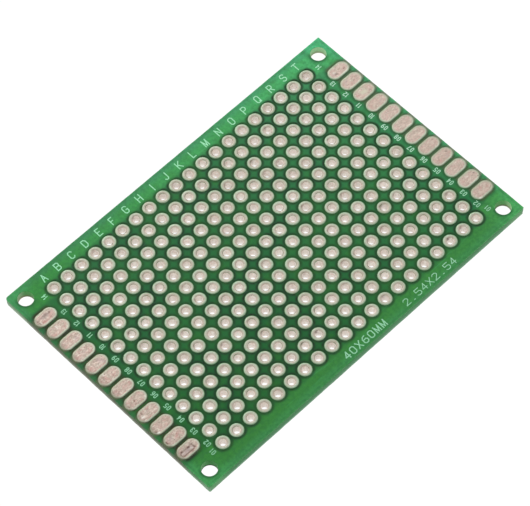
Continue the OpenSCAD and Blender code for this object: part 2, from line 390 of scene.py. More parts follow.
def mask_material():
    m = Nodes("solder_mask_green")
    p = m.mm()
    x, y, z = m.split(p)
    round_rim, slot_rim, slot_side = pad_distance(m, p)
    # the coat is paler and bluer toward one corner, a painted sheen, and deeper toward the other
    along = m.ramp(x, -float(HALF_L), float(HALF_L), smooth=False)
    across = m.ramp(y, -float(HALF_W), float(HALF_W), smooth=False)
    far = m.math("POWER", along, 3.0)
    among = m.mix(far, m.mix(across, srgb(7, 87, 30), srgb(26, 103, 55)), m.mix(across, srgb(27, 113, 63), srgb(69, 159, 101)))
    margin = m.mix(along, m.mix(across, srgb(50, 127, 50), srgb(50, 138, 55)), m.mix(across, srgb(58, 136, 60), srgb(78, 186, 112)))
    # deeper green amongst the pads than on the bare margins, deepest right beside a pad: painted shade amongst the
    # pads, and painted light glowing through the bare margins
    ax, ay = m.math("ABSOLUTE", x), m.math("ABSOLUTE", y)
    field = m.math("MAXIMUM", m.math("SUBTRACT", ax, float(cols_x[-1])), m.math("SUBTRACT", ay, float(rows_y[-1])))
    inside = m.math("MAXIMUM", m.ramp(field, 0.3, 1.7, 1.0, 0.0),
                    m.ramp(m.math("SUBTRACT", ay, float(EP_Y[-1] + EP_W / 2)), 0.1, 1.0, 1.0, 0.0))
    base = m.mix(inside, margin, among)
    # painted light: the coat brighter and bluer near the outline, and brightest at the corners
    brink = m.math("MAXIMUM", m.math("SUBTRACT", ax, float(HALF_L)), m.math("SUBTRACT", ay, float(HALF_W)))
    brink = m.math("MULTIPLY", m.ramp(brink, -1.5, -0.3), m.math("SUBTRACT", 1.0, inside))
    base = m.mix(m.math("MULTIPLY", brink, 0.42), base, m.mix(across, srgb(70, 158, 98), m.mix(along, srgb(62, 119, 100), srgb(72, 158, 128))))
    corner = m.ramp(m.math("ADD", ax, ay), 43.5, 48.8)
    base = m.mix(m.math("MULTIPLY", corner, 0.46), base, m.mix(across, srgb(84, 194, 108), m.mix(along, srgb(84, 196, 118), srgb(88, 222, 154))))
    # the notches between the ends of the slot-shaped pads: paler toward the board's end, deeper toward the grid
    notch = m.math("MULTIPLY", m.math("MULTIPLY", m.ramp(ax, 28.9, 29.6), inside), m.ramp(along, 0.0, 1.0, 0.45, 0.75, smooth=False))
    base = m.mix(notch, base, m.mix(along, srgb(58, 122, 76), srgb(78, 174, 114)))
    deep = m.ramp(m.math("ABSOLUTE", m.math("SUBTRACT", x, 26.7)), 0.1, 0.7, 0.35, 0.0)
    base = m.mix(deep, base, srgb(34, 96, 54))
    # painted shade right beside each round pad
    close = m.ramp(round_rim, 0.14, 0.58, 1.0, 0.0)
    close = m.math("MULTIPLY", close, m.ramp(m.math("SUBTRACT", y, float(rows_y[-1])), 0.9, 1.2, 1.0, 0.5))
    base = m.mix(close, base, srgb(17, 36, 20))
    # browner between the long sides of the slot-shaped pads, dark green by their ends, with painted shade darkest just
    # on the -Y side of each pad and toward column A
    flank = m.ramp(m.math("ABSOLUTE", slot_side), 0.70, 0.97)
    near = m.ramp(m.math("SUBTRACT", slot_rim, m.math("MULTIPLY", flank, 0.04)), 0.12, 0.58, 1.0, 0.0)
    above = m.ramp(slot_side, -0.2, 0.6)
    brown = m.mix(far, m.mix(above, srgb(26, 22, 9), srgb(42, 35, 18)), m.mix(above, srgb(54, 54, 34), srgb(86, 92, 70)))
    brown = m.mix(flank, srgb(28, 66, 34), brown)
    near = m.math("MULTIPLY", near, m.ramp(flank, 0.0, 1.0, 0.72, 1.0, smooth=False))
    near = m.math("MULTIPLY", near, m.ramp(far, 0.0, 1.0, 1.0, 0.85, smooth=False))
    base = m.mix(near, base, brown)
    # thin enough at the board's ends for the laminate to show
    thin = m.math("MULTIPLY", m.ramp(ax, 29.55, 29.80), m.ramp(slot_rim, 0.10, 0.45, 1.0, 0.0))
    base = m.mix(thin, base, m.mix(along, srgb(98, 100, 76), srgb(132, 136, 116)))
    # painted shade on the -X, -Y side of each mounting hole, as a darker skirt and lip, and a painted pool of light
    # beside the hole at +X, -Y
    hx, hy = m.math("SUBTRACT", ax, float(mount_xy[-1][0])), m.math("SUBTRACT", ay, float(mount_xy[-1][1]))
    ring = m.math("SUBTRACT", m.vmath("LENGTH", m.join(hx, hy, 0.0)), float(MOUNT_R))
    sx = m.math("SUBTRACT", x, m.math("MULTIPLY", m.math("SIGN", x), float(mount_xy[-1][0])))
    sy = m.math("SUBTRACT", y, m.math("MULTIPLY", m.math("SIGN", y), float(mount_xy[-1][1])))
    toward = m.ramp(m.math("ADD", sx, sy), -1.2, 0.5, 1.0, 0.0)
    right, back = m.ramp(x, -5.0, 5.0), m.ramp(y, -5.0, 5.0)
    skirt = m.math("MULTIPLY", m.ramp(ring, 0.3, 1.3, 1.0, 0.0), toward)
    base = m.mix(m.math("MULTIPLY", skirt, m.mix_value(right, m.mix_value(back, 0.10, 0.24), m.mix_value(back, 0.0, 0.08))), base, srgb(24, 84, 44))
    # a painted pool of light beside the mounting hole at +X, -Y
    lit = m.math("MULTIPLY", m.math("MULTIPLY", m.ramp(ring, 0.2, 2.6, 0.24, 0.0), right), m.math("SUBTRACT", 1.0, back))
    base = m.mix(lit, base, srgb(84, 188, 96))
    # painted shade: a darker lip on the -X, -Y side of each mounting hole
    lip = m.math("MULTIPLY", m.ramp(ring, 0.14, 0.52, 0.62, 0.0), toward)
    base = m.mix(lip, base, srgb(16, 66, 38))
    # and a darker line just inside the outline
    fringe = m.math("MAXIMUM", m.math("SUBTRACT", ax, float(HALF_L)), m.math("SUBTRACT", ay, float(HALF_W)))
    fringe = m.ramp(m.math("ABSOLUTE", m.math("ADD", fringe, 0.30)), 0.0, 0.20, 0.20, 0.0)
    base = m.mix(fringe, base, srgb(30, 62, 48))
    # slow patches of thicker and thinner coat, and a fine mottle
    slow = m.noise(p, 0.16, 2.0, 0.5)
    patch = m.noise(p, 0.55, 2.0, 0.55)
    fine = m.noise(p, 1.9, 3.0, 0.6)
    base = m.mix(m.ramp(slow, 0.35, 0.7, 0.0, 0.20), base, srgb(52, 140, 50))
    base = m.mix(m.ramp(patch, 0.50, 0.72, 0.0, 0.26), base, srgb(52, 130, 40))
    base = m.mix(m.ramp(fine, 0.3, 0.75, 0.0, 0.42), base, srgb(14, 90, 48))
    # pale drag marks lying along the board near the lower edge
    stretched = m.vmath("MULTIPLY", p, (0.22, 2.6, 1.0))
    drag = m.ramp(m.noise(stretched, 1.0, 2.0, 0.5), 0.60, 0.78, 0.0, 1.0)
    low = m.math("MULTIPLY", m.ramp(y, -19.4, -18.6), m.ramp(y, -17.6, -16.9, 1.0, 0.0))
    base = m.mix(m.math("MULTIPLY", m.math("MULTIPLY", drag, low), 0.35), base, srgb(70, 170, 105))
    height = m.noise(p, 0.9, 2.0, 0.5)
    grain = m.noise(p, 9.0, 2.0, 0.5)
    b1 = m.bump(height, 0.25, 0.00004)
    b2 = m.bump(grain, 0.12, 0.00001, b1)
    rough = m.ramp(fine, 0.25, 0.8, 0.16, 0.24)
    return m.set(Base_Color=base, Roughness=rough, IOR=1.47, Normal=b2)


def tin_material(kind):
    m = Nodes("tinned_copper_" + kind)
    p = m.mm()
    seed = m.attr("seed")
    dirt_and_shade = m.attr("dirt_and_shade")
    fine = m.noise(p, 3.2, 3.0, 0.65, 0.4)
    broad = m.noise(p, 1.1, 2.0, 0.5)
    if kind == "round":
        # from the rim inwards: pale rim with a green cast, a painted reflection of the coat, cream, pink-brown slope
        # into the hole, pale barrel
        base = m.colour_ramp(m.math("MULTIPLY", m.attr("reach"), 1.0), [
            (0.00, srgb(252, 249, 244)),
            (0.505, srgb(252, 249, 244)),
            (0.53, srgb(228, 216, 202)),
            (0.57, srgb(208, 197, 180)),
            (0.66, srgb(190, 187, 170)),
            (0.76, srgb(184, 195, 174)),
            (0.86, srgb(177, 200, 176)),
            (0.94, srgb(164, 196, 164)),
            (1.00, srgb(150, 188, 150))])
    else:
        # from the rim inwards: painted shade darkest at the rim's outer wall, then paler green on the rim and
        # pink-cream on the skin
        base = m.colour_ramp(m.attr("reach"), [
            (0.00, srgb(122, 138, 106)),
            (0.03, srgb(144, 172, 138)),
            (0.09, srgb(163, 190, 161)),
            (0.18, srgb(178, 194, 168)),
            (0.27, srgb(199, 193, 175)),
            (0.36, srgb(208, 187, 174)),
            (1.00, srgb(208, 187, 174))])
    if kind == "round":
        # the barrel keeps cleaner than the collar
        worn = m.ramp(m.attr("reach"), 0.502, 0.54, 0.35, 1.0)
        base = m.mix(m.math("MULTIPLY", m.ramp(fine, 0.32, 0.72, 0.0, 0.40), worn), base, srgb(166, 144, 128))
        swirl = m.noise(p, 2.7, 3.0, 0.6, 1.4)
        barrel = m.ramp(m.attr("reach"), 0.502, 0.60, 1.0, 0.25)
        base = m.mix(m.math("MULTIPLY", m.ramp(swirl, 0.47, 0.62, 0.0, 0.42), barrel), base, srgb(226, 190, 178))
        base = m.mix(m.math("MULTIPLY", m.ramp(swirl, 0.32, 0.47, 0.70, 0.0), barrel), base, srgb(255, 254, 248))
        base = m.mix(m.ramp(broad, 0.45, 0.75, 0.0, 0.25), base, srgb(226, 216, 204))
        base = m.mix(m.math("MULTIPLY", m.math("MULTIPLY", seed, 0.22), worn), base, srgb(176, 158, 140))
    else:
        # a dry skin: soft pink, cream and grey-green clouds that run along the pad, and a few red-brown specks
        worn = m.math("MULTIPLY", m.ramp(m.attr("reach"), 0.14, 0.36, 0.12, 1.0), m.ramp(m.split(p)[0], -5.0, 5.0, 1.22, 0.78))
        drawn = m.vmath("MULTIPLY", p, (0.75, 1.25, 1.0))

        def cloud(shift, scale, lo, hi, amount, colour, detail=2.0):
            n = m.noise(m.vmath("ADD", drawn, shift), scale, detail, 0.55, 0.5)
            return m.mix(m.math("MULTIPLY", m.ramp(n, lo, hi, 0.0, amount), worn), base, colour)
        base = cloud((0.0, 0.0, 0.0), 2.3, 0.42, 0.66, 0.60, srgb(206, 166, 156))
        base = cloud((31.0, 7.0, 3.0), 1.8, 0.44, 0.64, 0.60, srgb(176, 164, 146))
        base = cloud((11.0, 43.0, 5.0), 2.9, 0.50, 0.68, 0.50, srgb(238, 230, 214))
        base = cloud((57.0, 19.0, 9.0), 4.6, 0.46, 0.64, 0.48, srgb(160, 132, 122), 3.0)
        base = cloud((23.0, 3.0, 17.0), 5.4, 0.52, 0.68, 0.35, srgb(244, 236, 222))
        base = cloud((5.0, 71.0, 2.0), 3.4, 0.63, 0.73, 0.60, srgb(140, 92, 82))
        base = m.mix(m.math("MULTIPLY", seed, 0.14), base, srgb(178, 156, 138))
        base = m.mix(m.attr("rosy"), base, srgb(196, 134, 128))
        base = m.mix(m.attr("lilac"), base, srgb(176, 158, 160))
        base = m.mix(m.attr("sage"), base, srgb(207, 204, 182))
        # painted highlights on the rims and painted glints on single pads
        base = m.mix(m.attr("glint"), base, srgb(250, 248, 238))
    # dirt, and painted shade on the collars of the round pads and along the -Y rims of the slot-shaped pads
    base = m.mix(dirt_and_shade, base, srgb(92, 62, 50))
    rough = m.ramp(fine, 0.2, 0.8, 0.40, 0.56) if kind == "round" else m.ramp(fine, 0.2, 0.8, 0.34, 0.50)
    if kind == "round":
        rough = m.math("ADD", rough, m.ramp(m.attr("reach"), 0.50, 0.58, 0.09, 0.0))
    b = m.bump(m.noise(p, 2.6, 3.0, 0.6), 0.5, 0.00003)
    metal = 0.4
    return m.set(Base_Color=base, Roughness=rough, Metallic=metal, Normal=b)


def laminate_material():
    m = Nodes("laminate_edge")
    p = m.mm()
    x, y, z = m.split(p)
    # plies: fine streaks that run with the sheet
    plies = m.noise(m.vmath("MULTIPLY", p, (0.7, 0.7, 7.0)), 1.0, 3.0, 0.6)
    glass = m.noise(m.vmath("MULTIPLY", p, (5.0, 5.0, 2.0)), 1.0, 2.0, 0.6)
    # the long sides are stained green by the coat, and paler toward the bottom, painted light thrown up from the floor
    height = m.math("DIVIDE", z, 1.6)
    base = m.colour_ramp(height, [
        (0.02, srgb(140, 184, 152)), (0.12, srgb(106, 152, 119)), (0.25, srgb(78, 130, 93)),
        (0.38, srgb(52, 117, 71)), (0.52, srgb(41, 114, 62)), (1.0, srgb(34, 119, 53))])
    paler = m.math("MULTIPLY", m.ramp(x, -float(HALF_L), float(HALF_L), 0.0, 0.17, smooth=False), m.ramp(height, 0.45, 0.80, 1.0, 0.15))
    base = m.mix(paler, base, srgb(130, 176, 140))
    # a brighter green toward the corners, and darker low down by column T
    low_down = m.math("MULTIPLY", m.ramp(x, 18.0, 26.0), m.ramp(height, 0.12, 0.28, 0.60, 0.0))
    base = m.mix(low_down, base, srgb(70, 138, 88))
    tip = m.ramp(m.math("ABSOLUTE", x), 25.6, 28.4)
    base = m.mix(tip, base, m.colour_ramp(height, [
        (0.0, srgb(128, 172, 136)), (0.2, srgb(96, 146, 102)), (0.375, srgb(86, 140, 91)), (0.56, srgb(78, 143, 88)), (0.75, srgb(66, 146, 82)), (0.94, srgb(54, 146, 70))]))
    # the two short ends are greyer, with brown patches beside the pads, and paler toward the bottom as painted light
    # from the floor
    ends = m.ramp(m.math("ABSOLUTE", x), float(HALF_L) - 0.35, float(HALF_L) - 0.25)
    between = m.colour_ramp(height, [
        (0.0, srgb(130, 142, 122)), (0.5, srgb(104, 119, 94)), (0.62, srgb(73, 99, 71)), (0.75, srgb(50, 85, 51)), (0.88, srgb(47, 83, 47))])
    at_pads = m.colour_ramp(height, [
        (0.0, srgb(134, 138, 122)), (0.5, srgb(104, 110, 90)), (0.62, srgb(76, 82, 64)), (0.75, srgb(62, 68, 48)), (0.88, srgb(74, 74, 56))])
    u = m.math("DIVIDE", m.math("SUBTRACT", y, float(rows_y[0])), float(PITCH))
    off = m.math("ABSOLUTE", m.math("SUBTRACT", u, m.math("ROUND", u)))
    beside = m.math("MULTIPLY", m.ramp(off, 0.22, 0.42, 1.0, 0.0), m.ramp(m.math("ABSOLUTE", y), 14.9, 15.3, 1.0, 0.0))
    past = m.mix(m.ramp(y, -5.0, 5.0), m.colour_ramp(height, [
        (0.0, srgb(130, 162, 132)), (0.3, srgb(106, 142, 108)), (0.56, srgb(80, 125, 88)), (0.75, srgb(50, 111, 66)), (0.88, srgb(46, 100, 52))]),
        m.colour_ramp(height, [
            (0.0, srgb(170, 184, 160)), (0.3, srgb(144, 165, 138)), (0.56, srgb(114, 142, 112)), (0.75, srgb(86, 124, 88)), (0.88, srgb(78, 112, 76))]))
    past = m.mix(m.ramp(m.math("ABSOLUTE", y), 17.8, 19.6, 0.0, 0.55), past, srgb(118, 158, 124))
    beyond = m.ramp(m.math("ABSOLUTE", y), 15.2, 16.2)
    base = m.mix(ends, base, m.mix(beyond, m.mix(beside, between, at_pads), past))
    base = m.mix(m.ramp(plies, 0.42, 0.72, 0.0, 0.16), base, srgb(110, 140, 104))
    base = m.mix(m.ramp(glass, 0.55, 0.8, 0.0, 0.20), base, srgb(150, 160, 122))
    # walls of the mounting holes: green under the coat, brown in a thin band low down, and palest at one corner, with
    # painted light and shade that differ from hole to hole and round each wall
    hole = m.math("MULTIPLY", m.ramp(m.math("ABSOLUTE", x), 29.3, 29.2), m.ramp(m.math("ABSOLUTE", y), 19.3, 19.2))
    right, back = m.ramp(x, -5.0, 5.0), m.ramp(y, -5.0, 5.0)
    sx = m.math("SUBTRACT", x, m.math("MULTIPLY", m.math("SIGN", x), float(mount_xy[-1][0])))
    sy = m.math("SUBTRACT", y, m.math("MULTIPLY", m.math("SIGN", y), float(mount_xy[-1][1])))
    around = m.math("DIVIDE", m.math("SUBTRACT", sx, sy), float(MOUNT_R * 1.414))
    one, other = m.ramp(around, -0.95, 0.0, 1.0, 0.0), m.ramp(around, 0.0, 0.95)
    upper = m.mix(right,
                  m.mix(back, m.mix(one, srgb(54, 142, 62), srgb(100, 172, 104)), m.mix(one, srgb(82, 160, 84), srgb(152, 188, 144))),
                  m.mix(back, m.mix(other, srgb(92, 166, 92), srgb(160, 202, 146)), srgb(166, 209, 162)))
    lower = m.mix(right,
                  m.mix(back, srgb(22, 62, 28), m.mix(one, srgb(96, 118, 66), srgb(150, 138, 108))),
                  m.mix(back, m.mix(other, srgb(92, 112, 68), srgb(142, 140, 102)), srgb(152, 166, 128)))
    low_z = m.mix(back, m.mix(right, m.ramp(z, 0.15, 0.50), m.ramp(z, 0.25, 0.75)), m.ramp(z, 0.25, 0.80))
    wall = m.mix(low_z, lower, upper)
    base = m.mix(hole, base, wall)
    # what shows of the faces, in the rings about the pads, is dark, and browner by the long sides of the slot-shaped
    # pads, with painted shade darkest on the -Y side of each of those pads and toward column A
    nz = m.normal()[2]
    face = m.ramp(m.math("ABSOLUTE", nz), 0.7, 0.9)
    _, _, slot_side = pad_distance(m, p)
    flank = m.ramp(m.math("ABSOLUTE", slot_side), 0.70, 0.97)
    above = m.ramp(slot_side, -0.2, 0.6)
    far_end = m.ramp(x, -5.0, 5.0)
    by_slot = m.mix(far_end, m.mix(above, srgb(44, 50, 22), srgb(90, 88, 60)), m.mix(above, srgb(72, 94, 64), srgb(114, 128, 98)))
    by_slot = m.mix(flank, m.mix(far_end, srgb(40, 88, 44), srgb(46, 108, 62)), by_slot)
    by_slot = m.mix(m.ramp(m.math("ABSOLUTE", x), 29.2, 29.6), by_slot, m.mix(far_end, srgb(98, 102, 78), srgb(134, 140, 118)))
    bare = m.mix(m.ramp(m.math("ABSOLUTE", x), 25.4, 25.8), srgb(35, 100, 45), by_slot)
    base = m.mix(face, base, bare)
    b = m.bump(plies, 0.6, 0.00003)
    b2 = m.bump(glass, 0.5, 0.00002, b)
    return m.set(Base_Color=base, Roughness=0.62, IOR=1.35, Normal=b2)


def ink_material():
    m = Nodes("legend_ink_mint")
    p = m.mm()
    n = m.noise(p, 4.5, 3.0, 0.6)
    x, y, _ = m.split(p)
    # the letters are greener than the numbers, which are printed more strongly toward column T
    letters = m.ramp(y, 15.3, 15.9)
    base = m.mix(m.ramp(n, 0.35, 0.75, 0.0, 0.6), m.mix(letters, srgb(150, 212, 172), srgb(156, 228, 181)),
                 m.mix(letters, srgb(100, 180, 130), srgb(110, 198, 143)))
    strong = m.math("MULTIPLY", m.ramp(x, 4.0, 26.0, 0.0, 0.44), m.ramp(y, -12.0, -4.0, 0.35, 1.0))
    base = m.mix(m.math("MULTIPLY", strong, m.math("SUBTRACT", 1.0, m.math("MULTIPLY", letters, 0.72))), base, srgb(206, 240, 222))
    # the two 01s are the faintest
    faint = m.math("MULTIPLY", m.ramp(m.math("ABSOLUTE", x), 24.2, 25.0), m.ramp(y, -15.4, -14.8, 0.22, 0.0))
    base = m.mix(faint, base, srgb(60, 130, 80))
    b = m.bump(m.noise(p, 14.0, 2.0, 0.5), 0.3, 0.00001)
    return m.set(Base_Color=base, Roughness=0.55, IOR=1.5, Normal=b)


mat_mask = mask_material()
mat_round = tin_material("round")
mat_slot = tin_material("slot")
mat_core = laminate_material()
mat_ink = ink_material()


def dress(ob, material, slot_name, *nodes):
    ob.data.materials.clear()
    ob.data.materials.append(material)
    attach(ob, "root")
    if nodes:
        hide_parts(*nodes)
    return ob


# ---------------------------------------------------------------------------
# The laminate: a drilled sheet with cut sides that are not quite even
# ---------------------------------------------------------------------------
def rect_outline(step, hx, hy):
    """Anticlockwise rectangle with its corners worn a little round, the one by column A and row 14 the most."""
    r = (0.18, 0.08, 0.10, 0.44)
    corners = ((-hx, -hy), (hx, -hy), (hx, hy), (-hx, hy))
    out = []
    for k, (x, y) in enumerate(corners):
        cx, cy = x - math.copysign(r[k], x), y - math.copysign(r[k], y)
        a = math.pi * (1 + 0.5 * k) + np.linspace(0, math.pi / 2, 5)
        out.append(np.c_[cx + r[k] * np.cos(a), cy + r[k] * np.sin(a)])
        # along the side to where the next corner's arc begins
        j = (k + 1) % 4
        way = np.array([corners[j][0] - x, corners[j][1] - y])
        long = float(np.hypot(*way))
        way = way / long
        n = int(round((long - r[k] - r[j]) / step))
        s = np.linspace(r[k], long - r[j], n + 1)[1:-1, None]
        out.append(np.array([[x, y]]) + s * way)
    return np.concatenate(out)


def cut_wobble(xy, z, which):
    """The saw's marks on the outline, always into the material, so that nothing grows."""
    r = np.zeros(len(xy))
    rim = (which == 0)
    s = xy[:, 0] + xy[:, 1] * 1.7
    v = 0.5 + 0.28 * noise_a(s, np.full(len(s), z * 2.2), 0.9) + 0.18 * noise_b(s, np.full(len(s), z * 5.0), 3.1)
    r[rim] = 0.022 * np.clip(v[rim], 0, 1.3)
    return r


def break_bevel(xy, z):
    """The lower edge of each short end is broken back where the board was parted from its panel."""
    out = xy.copy()
    end = np.abs(xy[:, 0]) > HALF_L - 0.2
    depth = 0.085 * np.clip((0.50 - z) / 0.45, 0, 1) ** 0.8
    rag = 1 + 0.08 * np.clip(noise_a(xy[:, 1], xy[:, 1] * 0, 1.3), -1, 1)
    out[end, 0] -= np.sign(xy[end, 0]) * (depth * rag)[end]
    return out


mount_holes = [circle_points(x, y, MOUNT_R, 64, True) for x, y in mount_xy]
core = plate(
    "board_core", rect_outline(0.3, HALF_L, HALF_W),
    [circle_points(x, y, BARREL_R, 16, True) for x, y in grid_xy] + mount_holes,
    [(CORE_Z1, 0.0), (CORE_Z1 - 0.06, 0.0), (1.28, 0.0), (1.04, 0.0), (0.80, 0.0), (0.56, 0.0), (0.34, 0.0), (CORE_Z0 + 0.05, 0.0), (CORE_Z0, 0.0)],
    cut_wobble, break_bevel)
dress(core, mat_core, "laminate", "rigid_laminate")


# ---------------------------------------------------------------------------
# Solder mask, front and back: a thin coat whose openings have rolled lips
# ---------------------------------------------------------------------------
def mask(name, z_outer, z_inner, node):
    up = 1 if z_outer > z_inner else -1
    t = abs(z_outer - z_inner)
    levels = [(z_outer, 0.024), (z_outer - up * 0.10 * t, 0.010), (z_outer - up * 0.35 * t, 0.002), (z_inner, 0.0)]
    if up < 0:
        levels = levels[::-1]
    holes = [circle_points(x, y, PAD_R + MASK_GAP, 30, True) for x, y in grid_xy]
    holes += [circle_points(x, y, MOUNT_R + 0.004, 48, True) for x, y in mount_xy]
    holes += [obround_points(sx * EP_X, y, EP_L + 2 * MASK_GAP, EP_W + 2 * MASK_GAP, 17, 5, True)
              for sx in (1, -1) for y in EP_Y]

    def chips(xy, z, which):
        r = np.zeros(len(xy))
        rim = which == 0
        s = xy[:, 0] + xy[:, 1] * 1.7
        v = noise_a(s, s * 0, 1.6)
        r[rim] = 0.012 * np.clip(0.3 + v[rim], 0, 1)
        return r

    def bevel(xy, z):
        return break_bevel(xy, z) if z < 0.5 else xy
    ob = plate(name, rect_outline(0.3, HALF_L, HALF_W), holes, levels, chips, bevel)
    return dress(ob, mat_mask, "solder_mask", node)


mask("mask_coat_front", front_hi[2], front_lo[2], "solder_mask_front")
mask("mask_coat_back", back_lo[2], back_hi[2], "solder_mask_back")


# ---------------------------------------------------------------------------
# Plated holes: a barrel with a soft, domed collar of tin at each end
# ---------------------------------------------------------------------------
H = TOP - CORE_Z1
upper = np.array([
    (0.500, 0.80, 0), (0.500, 1.16, 0), (0.501, 1.36, 0), (0.507, 1.43, 0.1), (0.522, 1.482, 0.3), (0.548, 1.524, 0.5),
    (0.590, 1.558, 0.8), (0.650, 1.582, 1), (0.725, 1.596, 1), (0.805, 1.6005, 1), (0.880, 1.598, 1), (0.936, 1.586, 0.8),
    (0.974, 1.566, 0.4), (0.995, 1.545, 0.1), (1.000, 1.530, 0), (0.550, 1.530, 0)])
lower = np.array([
    (0.550, 0.070, 0), (1.000, 0.070, 0), (0.990, 0.046, 0.1), (0.955, 0.022, 0.5), (0.890, 0.005, 1), (0.800, 0.0005, 1),
    (0.700, 0.006, 1), (0.605, 0.032, 0.7), (0.540, 0.085, 0.3), (0.505, 0.18, 0)])
profile = np.concatenate([upper, lower])
NP, NS = len(profile), 32
ang = np.arange(NS) / NS * 2 * np.pi


def eyelets(name, letter, x):
    V, F, reach, seed, dirt_and_shade = [], [], [], [], []
    for j, y in enumerate(rows_y):
        a = ang + rng.uniform(0, 0.2)
        lean, where = rng.uniform(0.0, 0.005), rng.uniform(0, 2 * np.pi)
        lump, lump_at = rng.uniform(0, 0.006), rng.uniform(0, 2 * np.pi)
        squeeze, squeeze_at = rng.uniform(0, 0.012), rng.uniform(0, 2 * np.pi)
        tone = rng.uniform(0, 1)
        wander, wander_at = rng.uniform(0.0, 0.052), rng.uniform(0, 2 * np.pi)
        choke, choke_at = rng.uniform(0.0, 0.045), rng.uniform(0, 2 * np.pi)
        fleck = rng.uniform() < 0.30
        f_at, f_wide, f_deep = rng.uniform(1.6, 4.4), rng.uniform(0.18, 0.45), rng.uniform(0.25, 0.75)
        arc_at, arc_wide, arc_deep, arc_r = rng.normal(2.15, 0.45), rng.uniform(0.45, 0.95), rng.uniform(0.03, 0.36), rng.uniform(0.49, 0.57)
        if rng.uniform() < 0.14:
            arc_deep, arc_wide = rng.uniform(0.55, 0.80), rng.uniform(0.35, 0.60)
        r = profile[:, 0][:, None] * np.ones(NS)
        z = profile[:, 1][:, None] * np.ones(NS)
        w = profile[:, 2][:, None]
        top = (profile[:, 1] > 0.8)[:, None]
        # an uneven crest, always at or below the flat face's own height
        sink = w * (lean * (1 + np.cos(a - where)) + lump * np.exp(-((np.angle(np.exp(1j * (a - lump_at))) / 0.5) ** 2)))
        z = np.where(top, z - sink, z + sink)
        inner = (profile[:, 0] < 0.53)[:, None]
        r = np.where(inner, r + 0.5 * squeeze * (1 + np.cos(2 * (a - squeeze_at))), r)
        # tin gathers at the lower mouth, more in some holes than in others
        mouth = ((profile[:, 1] < 0.3) & (profile[:, 0] < 0.62))[:, None]
        r = np.where(mouth, r - choke * (1 + 0.5 * np.cos(a - choke_at)), r)
        slope = np.clip((r - 0.50) / 0.06, 0, 1) * np.clip((0.92 - r) / 0.14, 0, 1) * top
        r = r + slope * wander * np.cos(a - wander_at)
        rim = (profile[:, 0] > 0.93)[:, None]
        r = np.where(rim, r - 0.5 * squeeze * (1 + np.cos(2 * (a - squeeze_at) + 1)), r)
        V.append(np.stack([x + r * np.cos(a), y + r * np.sin(a), z], -1).reshape(-1, 3))
        base = j * NP * NS
        k = np.arange(NP)[:, None]
        s = np.arange(NS)[None, :]
        a0 = base + k * NS + s
        a1 = base + ((k + 1) % NP) * NS + s
        b1 = base + ((k + 1) % NP) * NS + (s + 1) % NS
        b0 = base + k * NS + (s + 1) % NS
        F.append(np.stack([a0, a1, b1, b0], -1).reshape(-1, 4))
        reach.append((profile[:, 0][:, None] * np.ones(NS)).ravel())
        seed.append(np.full(NP * NS, tone))
        # dirt flecks on some collars, and painted shade: a dark arc just inside the mouth, and darker patches on the
        # collar's slope
        ring = np.exp(-((profile[:, 0] - 0.64) / 0.07) ** 2)[:, None] * np.exp(-((np.angle(np.exp(1j * (a - f_at)))) / f_wide) ** 2)
        arc = np.exp(-((profile[:, 0] - arc_r) / 0.07) ** 2)[:, None] * np.exp(-((np.angle(np.exp(1j * (a - arc_at)))) / arc_wide) ** 2)
        collar_shade = 0.27 * np.exp(-((profile[:, 0] - 0.68) / 0.10) ** 2)[:, None] * np.exp(-((np.angle(np.exp(1j * (a - 5.15)))) / 1.05) ** 2)
        collar_shade = np.maximum(collar_shade, 0.10 * np.exp(-((profile[:, 0] - 0.58) / 0.12) ** 2)[:, None] * np.exp(-((np.angle(np.exp(1j * (a - 3.14)))) / 0.5) ** 2))
        collar_shade = np.maximum(collar_shade, 0.14 * np.exp(-((profile[:, 0] - 0.89) / 0.07) ** 2)[:, None] * np.exp(-((np.angle(np.exp(1j * (a - 1.95)))) / 0.65) ** 2))
        dirt_and_shade.append((np.maximum(np.maximum(ring * f_deep * fleck, arc * arc_deep), collar_shade) * top).ravel())
    ob = make_mesh(name, np.concatenate(V), [np.concatenate(F)], [True],
                   {"reach": np.concatenate(reach), "seed": np.concatenate(seed), "dirt_and_shade": np.concatenate(dirt_and_shade)})
    ob.data.set_sharp_from_angle(angle=math.radians(60))
    return dress(ob, mat_round, "tinned_copper", "plated_holes_col_" + letter)


for letter, x in zip(LETTERS, cols_x):
    eyelets("tinned_col_" + letter, letter, x)
